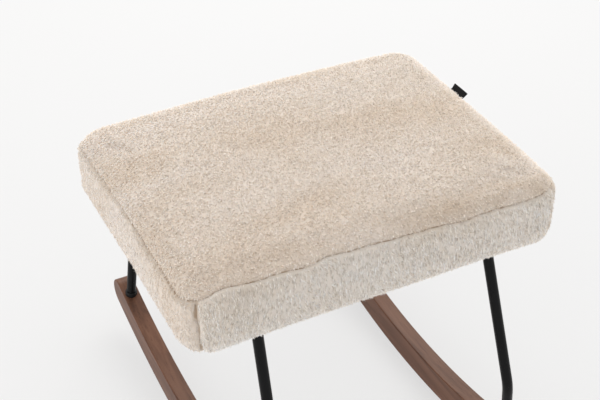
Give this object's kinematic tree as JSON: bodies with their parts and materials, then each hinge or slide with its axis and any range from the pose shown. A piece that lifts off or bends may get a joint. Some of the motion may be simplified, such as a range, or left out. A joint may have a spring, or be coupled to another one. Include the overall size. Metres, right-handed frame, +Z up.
{
  "type": "footstool",
  "caption": "Rocking footstool with a fur-covered padded seat on bent black tube legs that stand in curved wooden runners.",
  "frame": {"origin": "on the floor under the middle of the seat, where the runners' arcs touch down at rest", "axes": "+X to the sitter's right along the seat's width, +Y from front to back along the runners, +Z up"},
  "size_m": [0.5181, 0.572, 0.4429],
  "materials": {
    "fur_cover": "short plush pile, matt",
    "tag_ribbon": "woven ribbon, matt",
    "seat_foam": "open-cell foam, matt",
    "plywood": "raw birch plywood",
    "dust_cloth": "non-woven, matt",
    "black_steel": "satin powder coat",
    "black_plastic": "moulded, fine grain",
    "bare_steel": "zinc plated",
    "walnut": "walnut stain under satin lacquer",
    "black_bolt": "black oxide",
    "zinc_washer": "zinc plated"
  },
  "bodies": {
    "root": {"cover_top_panel": "fur_cover", "cover_front_boxing": "fur_cover", "cover_back_boxing": "fur_cover", "cover_left_boxing": "fur_cover", "cover_right_boxing": "fur_cover", "label_tag": "tag_ribbon", "foam_block": "seat_foam", "seat_board": "plywood", "dust_cover": "dust_cloth", "rail_left": "black_steel", "rail_right": "black_steel", "cross_tube_front": "black_steel", "cross_tube_back": "black_steel", "leg_front_left": "black_steel", "leg_front_right": "black_steel", "leg_back_left": "black_steel", "leg_back_right": "black_steel", "cross_tube_caps": "black_plastic", "ferrule_front_left": "black_plastic", "ferrule_front_right": "black_plastic", "ferrule_back_left": "black_plastic", "ferrule_back_right": "black_plastic", "leg_inserts": "bare_steel", "tee_nuts": "bare_steel", "runner_left": "walnut", "runner_right": "walnut", "runner_bolts": "black_bolt", "seat_bolts": "black_bolt", "runner_bolt_washers": "zinc_washer", "seat_bolt_washers": "zinc_washer"}
  },
  "joints": []
}
